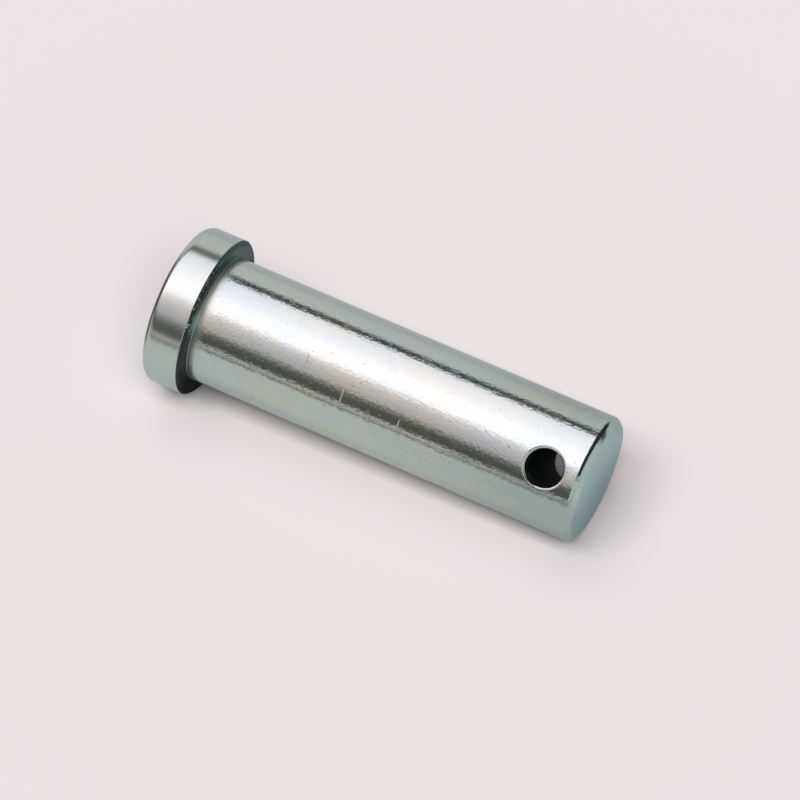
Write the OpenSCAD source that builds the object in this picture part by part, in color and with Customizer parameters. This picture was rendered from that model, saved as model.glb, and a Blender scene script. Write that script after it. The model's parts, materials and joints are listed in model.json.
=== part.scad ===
// Headed clevis pin, turned from round bar in one piece, drilled across near its free end.
// It stands on its head: the origin is the centre of the head's outer face, and +Z runs
// along the pin to the free end. The cross hole runs along Y.

/* [Shank] */
// Diameter of the shank
shank_d = 14; // [8:0.5:24]
// Length of the shank, from the head's bearing face to the free end
shank_len = 45; // [20:1:150]
// Width of the chamfer at the free end, along the shank and across it
end_chamfer = 0.65; // [0.2:0.05:1.5]

/* [Head] */
// Thickness of the head
head_t = 4.6; // [2.5:0.1:8]
// How far the head stands out past the shank, all round
head_ledge = 1.9; // [1.4:0.1:6]
// Radius that rounds the head's outer edge
head_round = 1; // [0.2:0.1:1.1]
// Chamfer round the head's bearing face
head_chamfer = 0.3; // [0.1:0.05:0.6]
// Radius of the fillet in the corner between shank and head
neck_fillet = 0.1; // [0.05:0.05:0.8]

/* [Split pin hole] */
// Diameter of the cross hole
hole_d = 4; // [2:0.1:5]
// Distance from the hole's centre to the free end
hole_setback = 4.4; // [4:0.1:12]
// Width of the broken edge round each mouth of the hole
mouth_break = 0.4; // [0.1:0.05:0.6]

/* [Hidden] */

shank_r = shank_d / 2;
head_r = shank_r + head_ledge;
hole_r = hole_d / 2;
total_len = head_t + shank_len;
hole_z = total_len - hole_setback;

// How far a cutting shape runs past the surface that it cuts
overcut = 0.2;
// Number of sides of a full turn, and of the small shapes that a mouth is blended from
turn_sides = 180;
mouth_sides = 48;
steel_tint = [0.76, 0.78, 0.78];

// One half of the head's section, rounded at the outer face and chamfered at the bearing face
module head_section() {
    polygon([
        [0, 0],
        [head_r - head_round, 0],
        [head_r, head_round],
        [head_r, head_t - head_chamfer],
        [head_r - head_chamfer, head_t],
        [0, head_t]
    ]);
    translate([head_r - head_round, head_round])
        circle(r = head_round, $fn = turn_sides);
}

// One half of the shank's section, chamfered at the free end
module shank_section() {
    polygon([
        [0, 0],
        [shank_r, 0],
        [shank_r, total_len - end_chamfer],
        [shank_r - end_chamfer, total_len],
        [0, total_len]
    ]);
}

// The corner of metal left between the bearing face and the shank
module neck_section() {
    translate([shank_r, head_t])
        difference() {
            translate([-overcut, -overcut])
                square(neck_fillet + overcut);
            translate([neck_fillet, neck_fillet])
                circle(r = neck_fillet, $fn = turn_sides);
        }
}

// Head, neck and shank as they leave the lathe
module turned_blank() {
    rotate_extrude($fn = turn_sides) {
        head_section();
        shank_section();
        neck_section();
    }
}

// The drill's path, square across the shank
module cross_hole() {
    translate([0, 0, hole_z])
        rotate([90, 0, 0])
            cylinder(h = shank_d + 2 * overcut, r = hole_r, center = true, $fn = turn_sides);
}

// A plug that stands on the shank's round side, pushed out past it by lift
module saddle_plug(plug_r, lift) {
    translate([0, -lift, 0])
        difference() {
            rotate([90, 0, 0])
                cylinder(h = shank_r + overcut, r = plug_r, $fn = mouth_sides);
            cylinder(h = shank_d, r = shank_r, center = true, $fn = turn_sides);
        }
}

// What breaks the edge of the mouth on the -Y side, following the shank's round
module mouth_cut() {
    hull() {
        saddle_plug(hole_r + mouth_break + overcut, overcut);
        saddle_plug(hole_r - overcut, -mouth_break - overcut);
    }
}

module clevis_pin() {
    color(steel_tint)
        difference() {
            turned_blank();
            cross_hole();
            translate([0, 0, hole_z]) {
                mouth_cut();
                rotate([0, 0, 180])
                    mouth_cut();
            }
        }
}

clevis_pin();
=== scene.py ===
# %% [markdown]
# # A zinc plated clevis pin
# A clevis pin is turned from drawn steel bar in one piece: a short head, a long plain shank and
# a cross hole for a split pin near the free end. After turning it is barrel plated with zinc.
# The packed part is the frame. It gives the main sizes, and the pin made here takes its place.

# %% Load the frame
import json
import math

import bmesh
import bpy
from mathutils import Matrix, Quaternion, Vector


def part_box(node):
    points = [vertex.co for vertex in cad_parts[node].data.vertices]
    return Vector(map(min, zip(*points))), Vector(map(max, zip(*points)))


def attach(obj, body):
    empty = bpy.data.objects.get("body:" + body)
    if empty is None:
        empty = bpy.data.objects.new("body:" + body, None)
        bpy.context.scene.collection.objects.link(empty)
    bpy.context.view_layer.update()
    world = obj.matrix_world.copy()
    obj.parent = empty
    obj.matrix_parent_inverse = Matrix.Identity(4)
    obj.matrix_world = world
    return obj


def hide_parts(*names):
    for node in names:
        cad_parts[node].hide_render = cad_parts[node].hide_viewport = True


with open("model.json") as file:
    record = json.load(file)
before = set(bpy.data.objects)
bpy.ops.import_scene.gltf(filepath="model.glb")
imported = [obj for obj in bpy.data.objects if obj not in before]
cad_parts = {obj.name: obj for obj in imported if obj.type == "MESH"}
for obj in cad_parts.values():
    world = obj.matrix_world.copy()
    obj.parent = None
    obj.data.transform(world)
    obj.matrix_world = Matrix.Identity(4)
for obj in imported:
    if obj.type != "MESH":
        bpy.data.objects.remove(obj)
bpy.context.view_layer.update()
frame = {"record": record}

# %% [markdown]
# ## Sizes
# The record states where another part would fit: the shank, the cross hole and the face under
# the head. Their radii and places are the pin's main sizes. The small chamfers have no mount,
# so they are named here in millimetres, as in a workshop drawing.

# %% Read the sizes
MM = 0.001
mounts = {mount["name"]: mount for mount in frame["record"]["mounts"]}

shank_r = mounts["shank"]["dims"]["r_mm"] * MM
hole_r = mounts["split_pin_hole"]["dims"]["r_mm"] * MM
hole_z = mounts["split_pin_hole"]["pos_m"][2]
head_t = mounts["bearing_face"]["pos_m"][2]
pin_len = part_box("clevis_pin")[1][2]

head_ledge = 1.9 * MM
head_r = shank_r + head_ledge
head_round = 1.0 * MM
head_chamfer = 0.3 * MM
neck_fillet = 0.1 * MM
end_chamfer = 0.65 * MM
mouth_break = 0.4 * MM
print(f"shank {2 * shank_r / MM:.1f} mm, head {2 * head_r / MM:.1f} mm, length {pin_len / MM:.1f} mm")

# %% [markdown]
# ## Turning the blank
# A lathe makes a shape by turning it against a cutter, and a spin does the same to an outline.
# A subdivided cylinder could be pushed into this shape too, but the outline keeps each step of
# the pin as one number. Only the sharp outline is drawn: the chamfers are bevels, cut
# afterwards, as the turner does.

# %% Spin the outline
TURN_STEPS = 256


def spin_outline(outline):
    """A closed body of revolution about Z from an outline of (radius, height) points."""
    body = bmesh.new()
    points = [body.verts.new((radius, 0, height)) for radius, height in outline]
    lines = [body.edges.new(pair) for pair in zip(points, points[1:])]
    bmesh.ops.spin(body, geom=points + lines, cent=(0, 0, 0), axis=(0, 0, 1), angle=math.tau,
                   steps=TURN_STEPS, use_merge=True)
    bmesh.ops.remove_doubles(body, verts=body.verts, dist=1e-7)
    bmesh.ops.recalc_face_normals(body, faces=body.faces)
    return body


blank = spin_outline([
    (0, 0),
    (head_r, 0),
    (head_r, head_t),
    (shank_r, head_t),
    (shank_r, pin_len),
    (0, pin_len),
])
print("blank:", len(blank.faces), "faces")

# %% [markdown]
# ## Chamfers and fillets
# The turner rounds the head's outer edge, leaves a small fillet under the head and breaks the
# other edges with a chamfer. All of them are bevels of one ring of edges: a chamfer has one
# segment, a round has more. They could also be points of the outline, but as bevels each one
# stays a single width.

# %% Bevel the rings
SAME_PLACE = 1e-6


def ring_edges(body, radius, height):
    """The edges of the ring at this radius and height."""

    def on_ring(point):
        off_height = abs(point.co.z - height)
        off_radius = abs(math.hypot(*point.co.xy) - radius)
        return max(off_height, off_radius) < SAME_PLACE

    return [edge for edge in body.edges if all(on_ring(point) for point in edge.verts)]


def bevel_ring(body, radius, height, width, segments):
    """Bevels one ring of the body to the given width."""
    edges = ring_edges(body, radius, height)
    bmesh.ops.bevel(body, geom=edges, offset=width, offset_type="OFFSET", segments=segments,
                    profile=0.5, affect="EDGES", material=-1)
    print(f"ring r {radius / MM:.2f} z {height / MM:.2f}: {len(edges)} edges")


bevel_ring(blank, head_r, 0, width=head_round, segments=12)
bevel_ring(blank, head_r, head_t, width=head_chamfer, segments=1)
bevel_ring(blank, shank_r, head_t, width=neck_fillet, segments=4)
bevel_ring(blank, shank_r, pin_len, width=end_chamfer, segments=1)

# %% [markdown]
# ## Corners softened in the barrel
# In the plating barrel the pins tumble against each other, which rounds every corner by a few
# hundredths of a millimetre. That tiny round is what catches the light along an edge. A Bevel
# modifier would round the hole's mouths in the same go, but here the chamfer's outer corner is
# worn more than the others, so each corner gets its own bevel.

# %% Soften the corners
TUMBLED = 0.07 * MM

# Radius and height of each corner, and how many times the usual wear it has
corners = [
    (head_r, head_t - head_chamfer, 1),
    (head_r - head_chamfer, head_t, 1),
    (shank_r, pin_len - end_chamfer, 4),
    (shank_r - end_chamfer, pin_len, 1),
]
for corner_radius, corner_height, wear in corners:
    bevel_ring(blank, corner_radius, corner_height, width=wear * TUMBLED, segments=2 + 2 * wear)

# %% [markdown]
# ## The drill
# The cross hole is drilled square across the shank, and both mouths are deburred. On round bar
# the broken edge follows the bar: seen from the side, the mouth dips where the bar curves away.
# A cone would cut it too wide at the sides. So the tool is a straight drill with a flared
# collar, and the collar is bent to the shank's round before the cut.

# %% Shape the drill
DRILL_SIDES = 96
# Half of the collar's outline in millimetres, from outside the bar to inside the hole: how far
# it stands out past the broken edge, and how far it lies below the bar's surface
COLLAR = [
    (0.3, -1.2),
    (0.02, 0.0),
    (-0.1, 0.02),
    (-0.2, 0.06),
    (-0.3, 0.16),
    (-0.37, 0.33),
    (-0.4, 0.5),
]


def bar_drop(x):
    """How far the shank's surface lies below its crown, at this distance to the side."""
    return shank_r - math.sqrt(shank_r ** 2 - x ** 2)


def make_drill():
    """A drill along Y with a flared collar at each mouth, as one closed mesh."""
    tool = bmesh.new()
    stations = [(hole_r + mouth_break + wide * MM, shank_r - deep * MM) for wide, deep in COLLAR]
    stations += [(radius, -depth) for radius, depth in reversed(stations)]
    ring = bmesh.ops.create_circle(tool, cap_ends=True, segments=DRILL_SIDES, radius=stations[0][0],
                                   matrix=Matrix.Rotation(math.radians(90), 4, "X"))["verts"]
    bmesh.ops.translate(tool, verts=ring, vec=(0, -stations[0][1], 0))
    edges = [edge for edge in tool.edges]
    for (wide, place), (next_wide, next_place) in zip(stations, stations[1:]):
        grown = bmesh.ops.extrude_edge_only(tool, edges=edges)["geom"]
        ring = [item for item in grown if isinstance(item, bmesh.types.BMVert)]
        edges = [item for item in grown if isinstance(item, bmesh.types.BMEdge)]
        bmesh.ops.scale(tool, verts=ring, vec=(next_wide / wide, 1, next_wide / wide))
        bmesh.ops.translate(tool, verts=ring, vec=(0, place - next_place, 0))
    bmesh.ops.edgeloop_fill(tool, edges=edges)
    for point in tool.verts:
        point.co.y -= math.copysign(bar_drop(point.co.x), point.co.y)
    bmesh.ops.translate(tool, verts=tool.verts, vec=(0, 0, hole_z))
    bmesh.ops.recalc_face_normals(tool, faces=tool.faces)
    print("drill:", len(tool.faces), "faces")
    return tool

# %% [markdown]
# ## Drilling
# A Boolean modifier takes the drill's volume out of the pin. Stitching a hole into the bar by
# hand would give tidier faces, but the cut finds the curved mouth by itself. Its slivers would
# run along the whole shank, so three rings are cut round the bar first, and they end there.

# %% Cut the hole
# Where a ring is cut round the bar, measured from the hole's centre
STOP_RINGS = (-4 * MM, -3 * MM, 3 * MM)


def put_in_scene(body, name):
    """Turns a bmesh into an object with its place in its mesh."""
    mesh = bpy.data.meshes.new(name)
    body.to_mesh(mesh)
    body.free()
    piece = bpy.data.objects.new(name, mesh)
    bpy.context.scene.collection.objects.link(piece)
    return piece


def apply_modifiers(piece):
    """Replaces the piece's mesh by what its modifiers make of it."""
    scene_now = bpy.context.evaluated_depsgraph_get()
    finished = bpy.data.meshes.new_from_object(piece.evaluated_get(scene_now))
    piece.modifiers.clear()
    rough, piece.data = piece.data, finished
    bpy.data.meshes.remove(rough)


for step in STOP_RINGS:
    bmesh.ops.bisect_plane(blank, geom=[*blank.verts, *blank.edges, *blank.faces],
                           plane_co=(0, 0, hole_z + step), plane_no=(0, 0, 1))
pin = put_in_scene(blank, "zinc_pin")
drill = put_in_scene(make_drill(), "drill")

cut = pin.modifiers.new("cross_hole", "BOOLEAN")
cut.operation = "DIFFERENCE"
cut.solver = "EXACT"
cut.object = drill
apply_modifiers(pin)
bpy.data.objects.remove(drill)
print("drilled pin:", len(pin.data.polygons), "faces")

# %% [markdown]
# ## Shading that is true to the round
# Bright bar is a mirror, so a wrong shading normal shows more than a wrong shape. Plain smooth
# shading would tilt the normals beside the hole and bend the reflections there. A Weighted
# Normal modifier lets the large faces decide. On the round of the bar the right answer is
# known, straight out from the axis, so there the normals are written into the mesh.

# %% Set the shading
SHARP_ANGLE = math.radians(28)
# A face of the bar's round leans less than this along the pin
MOST_LEAN = 0.01


def true_round(piece, radius):
    """Points the normals on the round of the bar straight away from its axis."""
    mesh = piece.data
    normals = [corner.vector.copy() for corner in mesh.corner_normals]
    trued = 0
    for face in mesh.polygons:
        places = [mesh.vertices[index].co for index in face.vertices]
        on_bar = all(abs(math.hypot(*place.xy) - radius) < SAME_PLACE for place in places)
        if on_bar and abs(face.normal.z) < MOST_LEAN:
            trued += 1
            for loop_index, place in zip(face.loop_indices, places):
                normals[loop_index] = Vector((place.x, place.y, 0)).normalized()
    mesh.normals_split_custom_set(normals)
    print("faces on the round of the bar:", trued)


for face in pin.data.polygons:
    face.use_smooth = True
pin.data.set_sharp_from_angle(angle=SHARP_ANGLE)
weigh = pin.modifiers.new("large_faces_lead", "WEIGHTED_NORMAL")
weigh.keep_sharp = True
apply_modifiers(pin)
true_round(pin, shank_r)

# %% [markdown]
# ## Putting the pin in place
# A pin is one closed lump of steel, so its mesh has no open edge, and its volume can be set
# against the packed part's. Then the packed part is hidden, and the pin is attached to the body
# that it moves with.

# %% Put the pin in place
check = bmesh.new()
check.from_mesh(pin.data)
open_edges = sum(1 for edge in check.edges if not edge.is_manifold)
print("pin:", len(check.faces), "faces,", open_edges, "open edges, volume",
      round(check.calc_volume() / MM ** 3, 1), "mm3")
check.free()

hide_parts("clevis_pin")
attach(pin, "root")

# %% [markdown]
# ## Writing shaders as sums
# A material is a net of nodes, but most of the nodes are plain arithmetic. They could be placed
# and joined one by one, which takes three lines for each sum. The class below wraps one output
# of a node instead, so that `0.5 * streaks + spots` adds the Math nodes by itself.

# %% A socket that can be used in sums
class Wire:
    """One output socket, usable in sums like a number."""

    def __init__(self, paint, socket):
        self.paint = paint
        self.socket = socket

    def math(self, operation, *values):
        sockets = dict(enumerate((self, *values)))
        return self.paint.add("ShaderNodeMath", {"operation": operation}, sockets)

    def __add__(self, other):
        return self.math("ADD", other)

    __radd__ = __add__

    def __mul__(self, other):
        return self.math("MULTIPLY", other)

    __rmul__ = __mul__

    def __sub__(self, other):
        return self.math("SUBTRACT", other)

    def __rsub__(self, other):
        return (self * -1) + other

    def __truediv__(self, other):
        return self.math("DIVIDE", other)

    def __pow__(self, other):
        return self.math("POWER", other)

    def __abs__(self):
        return self.math("ABSOLUTE")

    def most(self, other):
        """The larger of two values, which lays one mark over another."""
        return self.math("MAXIMUM", other)

    def ramp(self, low, high):
        """0 below low, 1 above high, smooth between them."""
        sockets = {"Value": self, "From Min": low, "From Max": high}
        settings = {"interpolation_type": "SMOOTHSTEP", "clamp": True}
        return self.paint.add("ShaderNodeMapRange", settings, sockets)


print("besides sums a wire has:", ", ".join(name for name in vars(Wire) if name[0] != "_"))

# %% [markdown]
# ## A paint box for one node tree
# Noise, colour mixes and shaders aren't sums. They all come from one method, `Paint.add`, which
# takes a node's type, its settings and what goes into its sockets. The few kinds that are
# needed again and again get a short name of their own.

# %% Make the paint box
class Paint:
    """A node tree that is filled by Python expressions."""

    def __init__(self, tree):
        self.tree = tree
        tree.nodes.clear()

    def add(self, kind, settings=None, sockets=None, output=0):
        """Makes a node: its settings first, then the values or links of its sockets."""
        made = self.tree.nodes.new(kind)
        for name, value in (settings or {}).items():
            if name == "stops":
                self.set_stops(made.color_ramp, value)
            else:
                setattr(made, name, value)
        for name, value in (sockets or {}).items():
            self.plug(self.find(made.inputs, name), value)
        return Wire(self, self.find(made.outputs, output)) if made.outputs else None

    def find(self, sockets, name):
        """The socket in use with this name or number."""
        if isinstance(name, int):
            return [socket for socket in sockets if socket.enabled][name]
        return next(socket for socket in sockets if socket.name == name and socket.enabled)

    def plug(self, socket, value):
        """Gives a socket its link or its value."""
        if isinstance(value, Wire):
            self.tree.links.new(value.socket, socket)
        elif isinstance(value, (tuple, list)) and len(value) == 3 and socket.type == "RGBA":
            socket.default_value = (*value, 1)
        else:
            socket.default_value = value

    def set_stops(self, ramp, stops):
        """Fills a colour ramp with (place, colour) stops."""
        while len(ramp.elements) < len(stops):
            ramp.elements.new(1)
        for element, (place, colour) in zip(ramp.elements, stops):
            element.position = place
            element.color = (*colour, 1)

    def axis(self, place, name):
        """The X, Y or Z of a place or a direction."""
        return self.add("ShaderNodeSeparateXYZ", sockets={0: place}, output=name)

    def blend(self, amount, first, second):
        """A colour between two colours."""
        settings = {"data_type": "RGBA", "blend_type": "MIX"}
        return self.add("ShaderNodeMix", settings, {"Factor": amount, "A": first, "B": second})

    def noise(self, place, scale, detail=2.0, roughness=0.5):
        """Smooth noise between 0 and 1."""
        sockets = {"Vector": place, "Scale": scale, "Detail": detail, "Roughness": roughness}
        return self.add("ShaderNodeTexNoise", {"noise_dimensions": "3D"}, sockets)

    def stretch(self, place, factors):
        """The same place with each direction multiplied by its own factor."""
        return self.add("ShaderNodeVectorMath", {"operation": "MULTIPLY"}, {0: place, 1: factors})

    def finish(self, shader):
        """Sends a shader to the material's surface and says how many nodes it took."""
        self.add("ShaderNodeOutputMaterial", sockets={"Surface": shader})
        print("painted with", len(self.tree.nodes), "nodes")


def new_material(name):
    """A material with an empty node tree to paint in."""
    material = bpy.data.materials.new(name)
    material.use_nodes = True
    return material, Paint(material.node_tree)


print("a paint box has:", ", ".join(name for name in vars(Paint) if name[0] != "_"))

# %% [markdown]
# ## Places on the pin
# Each tool leaves its mark in its own place: the bar is drawn, its ends are turned, dirt stays in
# the pits and painted shade darkens the corners. A picture wrapped round the pin could say so, but
# it would have a seam and a fixed grain. Here the places are worked out from Object coordinates in
# millimetres, so every grain has its real size, and nothing is tied to the camera.

# %% Name the places on the pin
BAR_R_MM = shank_r / MM
HEAD_R_MM = head_r / MM
HEAD_MM = head_t / MM
HOLE_MM = hole_z / MM
HOLE_R_MM = hole_r / MM
MIDDLE_MM = 0.5 * pin_len / MM
# The pin lies on this side when it is put down, as an angle round its axis
LOW_SIDE = math.radians(48.4)
# Direction across the front of the bar, square to a line of pits that runs along it
ACROSS = (0.998, -0.070)


class Places:
    """Where a point lies on the pin, and two grains that several marks share."""

    def __init__(self, paint):
        metres = paint.add("ShaderNodeTexCoord", output="Object")
        self.place = paint.stretch(metres, (1 / MM, 1 / MM, 1 / MM))
        self.x = paint.axis(self.place, "X")
        self.y = paint.axis(self.place, "Y")
        self.z = paint.axis(self.place, "Z")
        self.radius = (self.x * self.x + self.y * self.y) ** 0.5

        up = paint.axis(paint.add("ShaderNodeTexCoord", output="Normal"), "Z")
        end_side = (self.z - MIDDLE_MM).math("SIGN")
        self.faced = (up * end_side).ramp(0.75, 0.95)
        self.on_head = 1 - self.z.ramp(HEAD_MM - 0.4, HEAD_MM)
        self.on_bar = (1 - self.faced) * (1 - self.on_head)
        self.bearing = up.ramp(0.35, 0.65) * (1 - self.z.ramp(HEAD_MM + 0.1, HEAD_MM + 0.3))
        self.free_end = self.z.ramp(30, 46)

        self.across = self.x * ACROSS[0] + self.y * ACROSS[1]
        self.front = (self.y * -1).ramp(0.0, 0.5)
        self.far_side = (self.across * -1).ramp(BAR_R_MM - 2.5, BAR_R_MM - 0.5)
        low_x = math.cos(LOW_SIDE)
        low_y = math.sin(LOW_SIDE)
        self.low_side = (self.x * low_x + self.y * low_y).ramp(-4, 4)
        self.near_side = (self.x * low_y - self.y * low_x).ramp(BAR_R_MM - 1.6, BAR_R_MM - 0.6)

        self.fine_cloud = paint.noise(self.place, 1.5, 3.0, 0.6)
        self.grit = paint.noise(paint.stretch(self.place, (1, 1, 0.5)), 3.6, 2.0, 0.6)


print(f"head up to {HEAD_MM:.1f} mm, hole at {HOLE_MM:.1f} mm, middle at {MIDDLE_MM:.1f} mm")

# %% [markdown]
# ## The tint
# Zinc itself is a cool grey. The clear passivation over it is as thin as a soap film, and it
# adds a breath of straw or blue in soft clouds. On the end faces it is deeper and bluer, and a
# trace of that shows on the head and near the free end. There it has a lit tone and, on the side
# towards the table, a darker tone of painted shade. One flat colour would look like paint, so
# two tones are mixed by noise that is stretched along the bar.

# %% Tint the zinc
STRAW = (0.482, 0.560, 0.488)
BLUE = (0.432, 0.545, 0.525)
# The film's tone on the lit side, and a darker tone of painted shade on the side towards the table
FILM_LIT_SIDE = (0.410, 0.600, 0.615)
FILM_SHADED_SIDE = (0.310, 0.480, 0.510)


def tint_zinc(paint, at):
    """The colour of the passivated zinc."""
    long_cloud = paint.noise(paint.stretch(at.place, (1, 1, 0.45)), 0.25, 2.0, 0.55)
    clouds = (long_cloud * 0.6 + at.fine_cloud * 0.4).ramp(0.40, 0.60)
    # Painted shade: the film is darker on the side towards the table
    film_and_shade = paint.blend(at.low_side, FILM_LIT_SIDE, FILM_SHADED_SIDE)
    film_share = (at.faced * 0.85).most((at.free_end + at.on_head * 0.4) * 0.15)
    return paint.blend(film_share, paint.blend(clouds, STRAW, BLUE), film_and_shade)


print("straw", STRAW, "blue", BLUE)

# %% [markdown]
# ## Marks in the metal
# Drawn bar has shallow pits, and a few more of them along one line. The tumbling leaves faint
# rub marks round it and now and then a short scratch. Real dents would need a very fine mesh
# for something thinner than a hair, so the marks are masks that the next steps use for bumps,
# roughness and dirt.

# %% Mark the bar
# Height on the pin and the two ends across it, in millimetres, of each scratch round the bar
SCRATCHES = [
    (22.25, 1.1, 2.6),
    (17.4, -0.7, 0.9),
    (17.9, -0.2, 1.0),
    (29.0, 1.9, 2.7),
]


def pits_on(at):
    """Shallow pits, closer together along one line of the bar."""
    line = at.across.ramp(-0.9, -0.4) * (1 - at.across.ramp(0.5, 1.0)) * at.front
    return (at.grit + line * 0.06).ramp(0.70, 0.78) * at.on_bar


def rubs_on(paint, at):
    """Faint rub marks that run round the bar, in patches."""
    lines = paint.noise(paint.stretch(at.place, (0.35, 0.35, 7.0)), 1.0, 3.0, 0.6)
    return lines.ramp(0.56, 0.70) * at.fine_cloud.ramp(0.35, 0.6) * at.on_bar


def scratches_on(at):
    """The short scratches on the front of the bar."""
    scratches = 0
    for height, start, end in SCRATCHES:
        line = (1 - abs(at.z - height).ramp(0.05, 0.12)) * at.across.ramp(start - 0.1, start)
        line = line * (1 - at.across.ramp(end, end + 0.1)) * at.front
        scratches = line.most(scratches)
    return scratches


print(len(SCRATCHES), "scratches round the bar")

# %% [markdown]
# ## Dirt and painted shade
# A pin that has been stored and handled has dust in its pits, faint rub marks and specks low on
# the bar. The rest is painted shade: the bearing face is darkened on both sides, most towards the
# table, with a ragged dark line along its rim in between, and so is the wall of the hole. A
# painted dark reflection runs along the near part of the head's outer edge, and both sides of the
# bar grow darker towards the free end. Each is a mask from 0 to 1, and the strongest one counts.
# Adding them up would be simpler, but where two of them meet they would grow darker than either.

# %% Lay the dirt
def painted_shade_under_head(at):
    """Painted shade on the bearing face: closed on both sides, darkest towards the table, and a ragged
    dark line along the rim, broken by glints.
    """
    sides = at.far_side.most(at.across.ramp(0.5, 3.0))
    glints = (at.grit * 1.5 + at.fine_cloud * 0.5).ramp(1.12, 1.2)
    torn_radius = at.radius + (at.grit - 0.5) * 2.4
    ragged = torn_radius.ramp(HEAD_R_MM - 0.8, HEAD_R_MM - 0.5) * (1 - glints * 0.7)
    # The painted shade on the bearing face grows darker towards the table
    return at.bearing * (sides * (at.low_side * 0.2 + 0.80)).most(ragged * 0.95)


def dark_reflection_round_head(at):
    """A painted dark reflection along the near part of the head's outer edge."""
    torn_radius = at.radius + (at.grit - 0.5) * 0.8
    edge = (1 - at.z.ramp(0.3, 0.6)) * torn_radius.ramp(HEAD_R_MM - 1.0, HEAD_R_MM - 0.8)
    return edge * at.front * (1 - abs(at.across).ramp(3.5, 6.0))


def painted_shade_in_hole(at):
    """Painted shade on the wall of the hole, a little darker away from its mouths."""
    above = at.z - HOLE_MM
    off_drill = (at.x * at.x + above * above) ** 0.5
    bore = 1 - off_drill.ramp(HOLE_R_MM + 0.02, HOLE_R_MM + 0.12)
    deep = 1 - abs(at.y).ramp(BAR_R_MM - 1.6, BAR_R_MM - 0.6)
    return bore * (deep * 0.09 + 0.90)


def darker_towards_free_end(at):
    """Darker on both sides of the bar, towards the free end, in clouds."""
    return at.free_end * at.near_side.most(at.far_side) * (0.6 + at.fine_cloud * 0.8)


def specks_on(paint, at):
    """Fine specks low on the bar, towards the free end."""
    specks = paint.noise(at.place, 8.0, 2.0, 0.5).ramp(0.52, 0.66) * at.z.ramp(20, 32) * at.front
    return specks * at.across.ramp(3.0, 3.8) * (1 - at.across.ramp(4.8, 6.8))


def lay_dirt_and_shade(paint, at, pits, rubs):
    """How much of the zinc is covered by dirt and painted shade, from 0 to 1."""
    layers = [
        dark_reflection_round_head(at) * 0.8,
        painted_shade_in_hole(at),
        pits * 0.65,
        darker_towards_free_end(at) * 0.16,
        rubs * (at.across.ramp(-1, 1) * 0.07 + 0.04),
        specks_on(paint, at) * 0.3,
    ]
    dirt_and_shade = painted_shade_under_head(at)
    for layer in layers:
        dirt_and_shade = dirt_and_shade.most(layer)
    return dirt_and_shade


# The wall of the hole is darkened as painted shade out to this radius
print(f"dirt on the wall of the hole out to a radius of {HOLE_R_MM + 0.12:.2f} mm")

# %% [markdown]
# ## Relief and sheen
# A plated surface repeats the one under it: faint streaks along the drawn bar, an orange peel
# that breaks the edges of the reflections, and rings from the turning tool on the end faces.
# The head is smoother in form but more satin than the bar. A Bump node is enough for marks of
# about a hundredth of a millimetre, and the roughness says how sharply each place mirrors.

# %% Shape the surface
# How far the bump stands up, in metres, where the relief goes from 0 to 1
RELIEF = 12e-6
# Millimetres between two rings of the turning tool
TURNING_FEED = 0.2244


def raise_relief(paint, at, pits):
    """Bumps the normal by streaks, orange peel and pits on the bar and by rings on the ends."""
    streaks = paint.noise(paint.stretch(at.place, (6.0, 6.0, 0.35)), 1.0, 3.0, 0.6)
    peel = paint.noise(paint.stretch(at.place, (1, 1, 0.9)), 2.2, 4.0, 0.6)
    ripple = paint.noise(paint.stretch(at.place, (1, 1, 0.9)), 3.4, 0.0)
    rings = (at.radius * (math.tau / TURNING_FEED)).math("SINE") * 0.5 + 0.5
    bar = streaks * 0.5 + peel + ripple * 0.9 - pits * 0.8
    ends = rings * 0.2 + peel * 0.4
    relief = bar * (1 - at.faced) * (1 - at.on_head * 0.75) + ends * at.faced
    return paint.add("ShaderNodeBump", sockets={"Strength": 1.0, "Distance": RELIEF, "Height": relief})


def set_sheen(at, pits, rubs, scratches):
    """The roughness: bright bar, satin head, duller end faces, neck and marks."""
    bright = at.fine_cloud * 0.06 + 0.09
    marks = scratches * 0.5 + pits * 0.2 + rubs * 0.06
    neck = (1 - at.z.ramp(HEAD_MM + 0.3, HEAD_MM + 1.8)) * (1 - at.on_head)
    return bright + marks + at.faced * 0.25 + at.on_head * 0.08 + neck * 0.2


print(f"relief {RELIEF / MM:.3f} mm, one ring every {TURNING_FEED:.2f} mm")

# %% [markdown]
# ## Zinc, dirt and painted shade together
# Clean zinc is a metal and only mirrors, while oil, dust and painted shade are neither metal nor
# bright. One shader could be driven from one to the other by each of its sockets, but two shaders
# that are mixed by the mask of dirt and painted shade are easier to read. Under the far side of
# the head the painted shade is paler and teal.

# %% Paint the zinc
EDGE_TINT = (0.72, 0.76, 0.78)
# A dark tone for dirt and painted shade, and a paler teal painted shade under the far side of the head
SOOT_AND_SHADE = (0.005, 0.006, 0.006)
FAR_SIDE_SHADE = (0.036, 0.078, 0.086)


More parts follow.
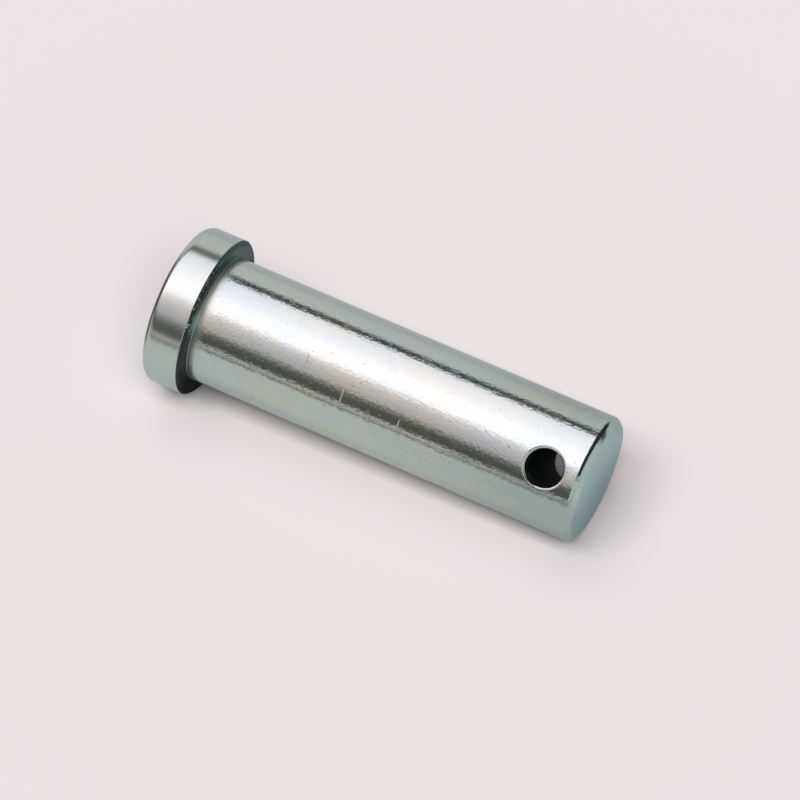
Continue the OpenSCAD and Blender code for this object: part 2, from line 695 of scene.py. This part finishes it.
def paint_zinc(name):
    """Passivated zinc with dirt and painted shade in its corners."""
    material, paint = new_material(name)
    at = Places(paint)
    pits = pits_on(at)
    rubs = rubs_on(paint, at)
    metal = paint.add("ShaderNodeBsdfPrincipled", sockets={
        "Base Color": tint_zinc(paint, at),
        "Metallic": 1.0,
        "Specular Tint": EDGE_TINT,
        "Roughness": set_sheen(at, pits, rubs, scratches_on(at)),
        "Normal": raise_relief(paint, at, pits),
    })
    # One dark shader for the dirt and for the painted shade
    dirt_and_shade = paint.add("ShaderNodeBsdfPrincipled", sockets={
        "Base Color": paint.blend(at.bearing * at.far_side, SOOT_AND_SHADE, FAR_SIDE_SHADE),
        "Roughness": 0.8,
        "Specular IOR Level": 0.1,
    })
    # Mask of dirt and painted shade
    covered = lay_dirt_and_shade(paint, at, pits, rubs)
    paint.finish(paint.add("ShaderNodeMixShader", sockets={0: covered, 1: metal, 2: dirt_and_shade}))
    return material


pin.data.materials.clear()
pin.data.materials.append(paint_zinc("bright_zinc"))

# %% [markdown]
# ## The table
# In the photograph the pin lies on its side, on the rims of its head and its free end. The part
# keeps its own frame here and doesn't move, so the table is brought to it: a flat sheet that
# touches both rims. Its slope follows from the head's ledge and the distance between the rims.

# %% Lay the table against the pin
TABLE_SIZE = 1.4
rim_z = head_t - head_chamfer
end_z = pin_len - end_chamfer
table_slope = math.atan2(head_r - shank_r, end_z - rim_z)

outward = Vector((math.cos(LOW_SIDE), math.sin(LOW_SIDE), 0))
table_up = -(outward * math.cos(table_slope) + Vector((0, 0, math.sin(table_slope))))
touch = outward * head_r + Vector((0, 0, rim_z))
table_along = (Vector((0, 0, 1)) - table_up * table_up.z).normalized()
table_near = table_along.cross(table_up)
table_frame = Matrix((table_near, table_along, table_up)).transposed().to_4x4()
table_frame.translation = touch + table_along * (pin_len / 2 - rim_z)

sheet = bmesh.new()
bmesh.ops.create_grid(sheet, x_segments=1, y_segments=1, size=TABLE_SIZE / 2)
table = put_in_scene(sheet, "table")
table.matrix_world = table_frame
print("table slope", round(math.degrees(table_slope), 2), "degrees, near side", table_near)

# %% [markdown]
# ## The table's surface
# The table is matt and nearly white, with a trace of grain. A plain white sheet would hide the
# pin from below and end in a hard edge. So it is clear from behind, and for the camera it fades
# into the background a few centimetres away from the pin, while the metal still mirrors all of
# it.

# %% Paint the table
TABLE_ALBEDO = (0.80, 0.777, 0.767)
GRAIN_ALBEDO = tuple(value * 0.97 for value in TABLE_ALBEDO)
FADE_FROM = 0.03
FADE_TO = 0.07


def paint_table(name):
    """Pale and matt, clear from behind, and faded out for the camera away from the pin."""
    material, paint = new_material(name)
    behind = paint.add("ShaderNodeNewGeometry", output="Backfacing")
    place = paint.add("ShaderNodeTexCoord", output="Object")
    from_pin = paint.add("ShaderNodeVectorMath", {"operation": "LENGTH"}, {0: place}, output="Value")
    seen = paint.add("ShaderNodeLightPath", output="Is Camera Ray")
    gone = behind.most(seen * from_pin.ramp(FADE_FROM, FADE_TO))
    colour = paint.blend(paint.noise(place, 9.0) * 0.02, TABLE_ALBEDO, GRAIN_ALBEDO)
    matt = paint.add("ShaderNodeBsdfDiffuse", sockets={"Color": colour})
    clear = paint.add("ShaderNodeBsdfTransparent")
    paint.finish(paint.add("ShaderNodeMixShader", sockets={0: gone, 1: matt, 2: clear}))
    return material


table.data.materials.append(paint_table("pale_table"))

# %% [markdown]
# ## What the metal mirrors
# Polished metal shows its surroundings, so the surroundings are what has to be built. A
# photographer would hang a white cloth over the table, with a grey card on one side and a dark
# one on the other. They could be built one by one, but then each band of the reflection takes a
# search for the right place and size of a card. Here they are the tones of one dome instead,
# listed by direction from the far horizon over the top to the near one.

# %% Name the tones of the cloth
# Tilt from straight up, in degrees, towards the near side, with the tone there
CLOTH_TONES = [
    (-100, (1.16, 1.04, 1.03)),
    (-84, (0.87, 0.77, 0.76)),
    (-62, (0.90, 0.81, 0.82)),
    (-54, (0.93, 0.86, 0.90)),
    (-53, (0.07, 0.07, 0.06)),
    (-41.5, (0.07, 0.07, 0.06)),
    (-40, (1.56, 1.32, 1.48)),
    (-26, (1.77, 1.50, 1.67)),
    (-10, (1.95, 1.61, 1.82)),
    (2, (2.16, 1.81, 2.03)),
    (24, (2.16, 1.81, 2.03)),
    (31, (1.39, 1.10, 1.18)),
    (38, (1.18, 0.92, 0.97)),
    (46, (0.96, 0.76, 0.80)),
    (56, (0.84, 0.67, 0.69)),
    (62, (0.38, 0.31, 0.30)),
    (69, (0.15, 0.13, 0.12)),
    (78, (0.13, 0.12, 0.11)),
    (84, (0.09, 0.08, 0.07)),
    (86, (0.92, 0.75, 0.74)),
    (90, (0.92, 0.75, 0.74)),
]
print(len(CLOTH_TONES), "tones, the brightest", max(max(tone) for angle, tone in CLOTH_TONES))

# %% [markdown]
# ## The dome's paint
# The cloth's tones run across the pin, so the tilt of a direction picks them from a colour
# ramp. The ramp holds them as shares of the dome's glow, which makes them as bright as they are
# written above. Along the pin the cloth ends where the photographed reflections end. Past it
# the room is dark, but for a pale wall beyond the free end and low on the near side.

# %% Paint the dome
DOME_RADIUS = 0.9
DOME_GLOW = 2.2
PALE_WALL = (0.34, 0.34, 0.34)
DARK_ROOM = (0.02, 0.02, 0.02)


def paint_dome(name):
    """A glow whose tone depends on the direction from the middle of the table."""
    material, paint = new_material(name)
    place = paint.add("ShaderNodeTexCoord", output="Object")
    near = paint.axis(place, "X") / DOME_RADIUS
    along = paint.axis(place, "Y") / DOME_RADIUS
    up = paint.axis(place, "Z") / DOME_RADIUS
    tilt = near.math("ARCTAN2", up) * (180 / math.pi)
    stops = []
    for angle, tone in CLOTH_TONES:
        stops.append(((angle + 180) / 360, tuple(part / DOME_GLOW for part in tone)))
    turn = (tilt + 180) / 360
    cloth = paint.add("ShaderNodeValToRGB", {"stops": stops}, {"Fac": turn}, output="Color")
    on_cloth = (1 - along.ramp(0.02, 0.14)) * along.ramp(-0.98, -0.94)
    dark = (1 - along.ramp(0.72, 0.86)) * (1 - tilt.ramp(38, 48) * along.ramp(-0.1, 0.1))
    shown = paint.blend(on_cloth, paint.blend(dark, PALE_WALL, DARK_ROOM), cloth)
    paint.finish(paint.add("ShaderNodeEmission", sockets={"Color": shown, "Strength": DOME_GLOW}))
    return material


# %% [markdown]
# ## The dome over the table
# The dome is a sphere round the middle of the table, cut off a little below it. It could be
# painted on the world instead, but the world is what the camera sees and what fills the
# shadow. As an object the dome can be left to reflections alone: neither the camera nor the
# table sees it, and it casts no shadow.

# %% Put the dome over the table
DOME_FOOT = -0.02


def only_mirrored(piece):
    """Leaves a piece to reflections alone, and stages it."""
    piece.visible_camera = False
    piece.visible_diffuse = False
    piece.visible_shadow = False


shell = bmesh.new()
bmesh.ops.create_uvsphere(shell, u_segments=64, v_segments=32, radius=DOME_RADIUS)
bmesh.ops.bisect_plane(shell, geom=[*shell.verts, *shell.edges, *shell.faces],
                       plane_co=(0, 0, DOME_FOOT), plane_no=(0, 0, 1), clear_inner=True)
dome = put_in_scene(shell, "light_dome")
dome.matrix_world = table_frame
dome.data.materials.append(paint_dome("dome_tones"))
dome.data.materials[0].cycles.emission_sampling = "NONE"
only_mirrored(dome)
print("dome:", len(dome.data.polygons), "faces")

# %% [markdown]
# ## The dark card
# Low on its near side the bar mirrors a thin dark line, as from a card that lies on the table.
# It could be one more tone of the dome, but the dome ends at the horizon and the card lies
# below it, so here it is a card too. Like the dome it is only mirrored.

# %% Lay the dark card
CARD_WIDTH = 0.20
CARD_LENGTH = 1.2
CARD_PLACE = (0.21, 0, 0.0002)
CARD_TONE = (0.03, 0.03, 0.03)


def paint_card(name):
    """A matt, nearly black card."""
    material, paint = new_material(name)
    paint.finish(paint.add("ShaderNodeBsdfDiffuse", sockets={"Color": CARD_TONE}))
    return material


card_mesh = bmesh.new()
bmesh.ops.create_grid(card_mesh, x_segments=1, y_segments=1, size=CARD_LENGTH / 2)
bmesh.ops.scale(card_mesh, verts=card_mesh.verts, vec=(CARD_WIDTH / CARD_LENGTH, 1, 1))
bmesh.ops.translate(card_mesh, verts=card_mesh.verts, vec=CARD_PLACE)
card = put_in_scene(card_mesh, "dark_card")
card.matrix_world = table_frame
card.data.materials.append(paint_card("dark_card"))
only_mirrored(card)

# %% [markdown]
# ## Lamps for the table
# The pin's soft shadow comes from two lamps: a long one from the near side, which gives the
# shadow its direction, and a weak wide one over the top, which fills it. The dome could light
# the table as well, but then every change of a reflection would change the shadow. So the dome
# is mirrored, the lamps light the table and the dark shader of dirt and painted shade, and
# neither does the other's work.

# %% Hang the lamps
LAMP_DISTANCE = 2.0
LAMP_TINT = (1.0, 0.94, 0.96)


def hang_lamp(name, tilt, slant, width, length, watts):
    """A soft lamp above the table that isn't mirrored in the metal."""
    lamp = bpy.data.lights.new(name, "AREA")
    lamp.shape = "RECTANGLE"
    lamp.size = width
    lamp.size_y = length
    lamp.energy = watts
    lamp.color = LAMP_TINT
    near = math.sin(math.radians(tilt)) * math.cos(math.radians(slant))
    along = math.sin(math.radians(slant))
    up = math.cos(math.radians(tilt)) * math.cos(math.radians(slant))
    outwards = Vector((near, along, up))
    across = Vector((0, 1, 0)).cross(outwards).normalized()
    turn = Matrix((across, outwards.cross(across), outwards)).transposed().to_4x4()
    holder = bpy.data.objects.new(name, lamp)
    holder.matrix_world = table_frame @ Matrix.Translation(outwards * LAMP_DISTANCE) @ turn
    holder.visible_glossy = False
    bpy.context.scene.collection.objects.link(holder)
    print(f"{name}: {watts} W, {tilt} degrees to the near side")


hang_lamp("long_lamp", tilt=25, slant=5, width=0.85, length=2.31, watts=42.5)
hang_lamp("top_lamp", tilt=-12, slant=-15, width=1.40, length=1.40, watts=8.4)

# %% [markdown]
# ## The room
# The world is the pale background that the camera sees past the table. As a lamp it would wash
# the shadow out, so it shines at full strength for the camera only and otherwise gives a faint
# fill. The Standard view shows each tone about as it is written.

# %% Set the room
BACKGROUND = (0.847, 0.776, 0.783)
FILL = 0.08

world = bpy.data.worlds.new("pale_room")
world.use_nodes = True
room = Paint(world.node_tree)
seen = room.add("ShaderNodeLightPath", output="Is Camera Ray")
pale = room.add("ShaderNodeBackground", sockets={
    "Color": BACKGROUND,
    "Strength": seen * (1 - FILL) + FILL,
})
room.add("ShaderNodeOutputWorld", sockets={"Surface": pale})
bpy.context.scene.world = world
bpy.context.scene.view_settings.view_transform = "Standard"
print("background", BACKGROUND, "fill", FILL)

# %% [markdown]
# ## The camera
# The photograph looks at the pin's side from a little way towards the free end, with a long lens
# and the pin slanting down across the picture. Three angles say that: two place the camera
# round the upright pin, and the roll turns the picture.

# %% Place the camera
CAMERA_AZIMUTH = math.radians(-7.505)
CAMERA_ELEVATION = math.radians(13.561)
CAMERA_ROLL = math.radians(113.236)
CAMERA_DISTANCE = 0.48285
PHOTO_SIDE_PX = 800
FOCAL_PX = 4564.6
SENSOR_MM = 36.0
CAMERA_AIM = Vector((0.294 * MM, 0, 26.614 * MM))

back = Vector((
    math.sin(CAMERA_AZIMUTH) * math.cos(CAMERA_ELEVATION),
    -math.cos(CAMERA_AZIMUTH) * math.cos(CAMERA_ELEVATION),
    math.sin(CAMERA_ELEVATION),
))
lens = bpy.data.cameras.new("photo_camera")
lens.sensor_width = SENSOR_MM
lens.lens = SENSOR_MM * FOCAL_PX / PHOTO_SIDE_PX
lens.clip_start = 0.01
camera = bpy.data.objects.new("photo_camera", lens)
bpy.context.scene.collection.objects.link(camera)
camera.rotation_mode = "QUATERNION"
level = (-back).to_track_quat("-Z", "Y")
camera.rotation_quaternion = level @ Quaternion((0, 0, 1), CAMERA_ROLL)
camera.location = CAMERA_AIM + back * CAMERA_DISTANCE
bpy.context.scene.camera = camera
print("lens", round(lens.lens, 1), "mm")

# %% [markdown]
# The finished pin has to fill the packed part's box and no more.
